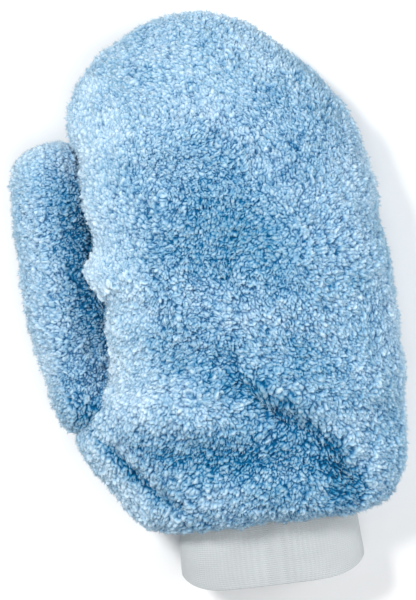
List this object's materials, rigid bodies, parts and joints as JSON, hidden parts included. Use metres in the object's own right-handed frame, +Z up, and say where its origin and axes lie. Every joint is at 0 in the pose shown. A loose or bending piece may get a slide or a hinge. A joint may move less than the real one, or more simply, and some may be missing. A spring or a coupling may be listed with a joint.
{
  "type": "wash mitt",
  "caption": "Plush washing mitt with a thumb and a folded rib-knit cuff: a back and a palm of thick pile over a lining, seamed round the edge, open at the wrist.",
  "frame": {"origin": "on the table under the middle of the mitt's bounding box, as it lies palm down", "axes": "+Y from the wrist to the fingertips, +Z up out of the back of the hand, thumb on the -X side"},
  "size_m": [0.184, 0.29, 0.0681],
  "materials": {
    "plush": "curly pile, matt with a soft sheen",
    "lining": "smooth knit, matt",
    "seam_thread": "overlocked thread, matt",
    "rib_knit": "fine rib knit, matt"
  },
  "bodies": {
    "hand": {"back_panel_hand": "plush", "palm_panel_hand": "plush", "back_lining_hand": "lining", "palm_lining_hand": "lining", "little_finger_side_seam": "seam_thread", "heel_seam": "seam_thread", "crotch_seam": "seam_thread"},
    "fingers": {"back_panel_fingers": "plush", "palm_panel_fingers": "plush", "back_lining_fingers": "lining", "palm_lining_fingers": "lining", "fingertip_seam": "seam_thread"},
    "thumb": {"back_panel_thumb": "plush", "palm_panel_thumb": "plush", "back_lining_thumb": "lining", "palm_lining_thumb": "lining", "thumb_seam": "seam_thread"},
    "cuff": {"rib_cuff": "rib_knit", "cuff_join_seam": "seam_thread", "cuff_side_seam": "rib_knit"}
  },
  "joints": [
    {"name": "finger_curl", "type": "hinge", "parent": "hand", "child": "fingers", "pos_m": [0.015, 0.027, 0], "axis": [-1, 0, 0], "range_deg": [0, 60]},
    {"name": "thumb_swing", "type": "hinge", "parent": "hand", "child": "thumb", "pos_m": [-0.0775, -0.057, 0.022], "axis": [0, 0, 1], "range_deg": [0, 35]},
    {"name": "cuff_flex", "type": "hinge", "parent": "hand", "child": "cuff", "pos_m": [0.015, -0.108, 0.025], "axis": [1, 0, 0], "range_deg": [-20, 20], "stiffness_Nm_per_rad": 0.1}
  ]
}
